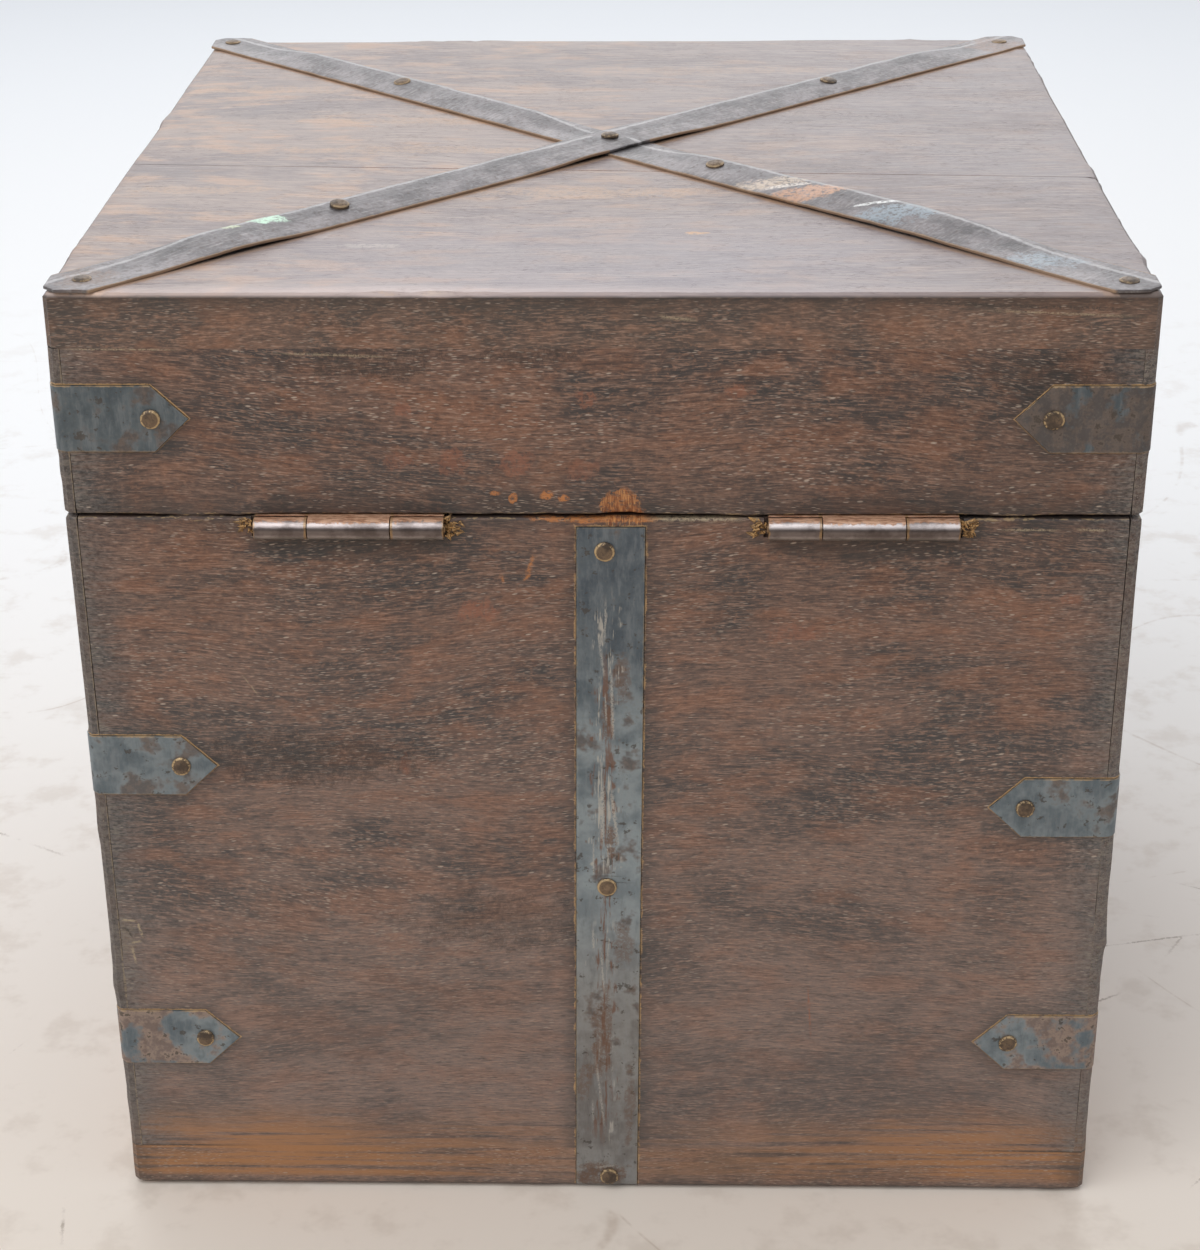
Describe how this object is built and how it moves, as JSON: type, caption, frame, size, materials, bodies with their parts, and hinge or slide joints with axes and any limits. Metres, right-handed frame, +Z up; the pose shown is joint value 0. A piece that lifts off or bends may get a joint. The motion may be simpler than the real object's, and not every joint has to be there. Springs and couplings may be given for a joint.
{
  "type": "iron-strapped wooden storage box",
  "caption": "Square hardwood storage box with a hinged tray lid, crossed hollow iron straps on top, iron corner straps and a hasp.",
  "frame": {"origin": "on the floor under the middle of the wooden box, at the face it stands on", "axes": "+Z up; -Y is the front with the hasp, +Y the hinge side; +X is to the right of someone who stands at the front"},
  "size_m": [0.2934, 0.3099, 0.2911],
  "materials": {
    "body_wood": "aged dark reddish brown hardwood, worn satin",
    "bottom_wood": "aged dark hardwood plank with a paler sapwood streak",
    "top_wood": "aged hardwood top, handled and dusty",
    "lid_wood": "aged dark reddish brown hardwood, worn satin",
    "flat_strap_iron": "thin wrought sheet iron, blue-grey with brown rust",
    "cross_strap_iron": "hollow hoop iron, dark with a handled crown",
    "nail_iron": "hand-headed iron nails, brown with rubbed rims",
    "hinge_steel": "rolled iron butt hinge, brown-grey and rubbed",
    "hasp_iron": "forged iron, dark brown-grey"
  },
  "bodies": {
    "body": {"body_back_board": "body_wood", "body_corner_strap_nails": "nail_iron", "body_front_board": "body_wood", "body_left_board": "body_wood", "body_right_board": "body_wood", "bottom_plank_back": "bottom_wood", "bottom_plank_front": "bottom_wood", "centre_strap": "flat_strap_iron", "centre_strap_nails": "nail_iron", "hinge_body_nails": "hinge_steel", "hinge_left_body_leaf": "hinge_steel", "hinge_left_pin": "hinge_steel", "hinge_right_body_leaf": "hinge_steel", "hinge_right_pin": "hinge_steel", "lock_staple": "hasp_iron", "lower_corner_strap_back_left": "flat_strap_iron", "lower_corner_strap_back_right": "flat_strap_iron", "lower_corner_strap_front_left": "flat_strap_iron", "lower_corner_strap_front_right": "flat_strap_iron", "upper_corner_strap_back_left": "flat_strap_iron", "upper_corner_strap_back_right": "flat_strap_iron", "upper_corner_strap_front_left": "flat_strap_iron", "upper_corner_strap_front_right": "flat_strap_iron"},
    "lid": {"cross_strap_nails": "nail_iron", "cross_strap_over": "cross_strap_iron", "cross_strap_under": "cross_strap_iron", "hasp_staple": "hasp_iron", "hinge_left_lid_leaf": "hinge_steel", "hinge_lid_nails": "hinge_steel", "hinge_right_lid_leaf": "hinge_steel", "lid_back_rail": "lid_wood", "lid_corner_strap_back_left": "flat_strap_iron", "lid_corner_strap_back_right": "flat_strap_iron", "lid_corner_strap_front_left": "flat_strap_iron", "lid_corner_strap_front_right": "flat_strap_iron", "lid_corner_strap_nails": "nail_iron", "lid_front_rail": "lid_wood", "lid_left_rail": "lid_wood", "lid_right_rail": "lid_wood", "top_plank_back": "top_wood", "top_plank_front": "top_wood"},
    "hasp": {"hasp": "hasp_iron"}
  },
  "joints": [
    {"name": "lid_hinge", "type": "hinge", "parent": "body", "child": "lid", "pos_m": [0, 0.147, 0.2208], "axis": [-1, 0, 0], "range_deg": [0, 182]},
    {"name": "hasp_pivot", "type": "hinge", "parent": "lid", "child": "hasp", "pos_m": [-0.001, -0.1497, 0.232], "axis": [1, 0, 0], "range_deg": [0, 184.4]}
  ]
}
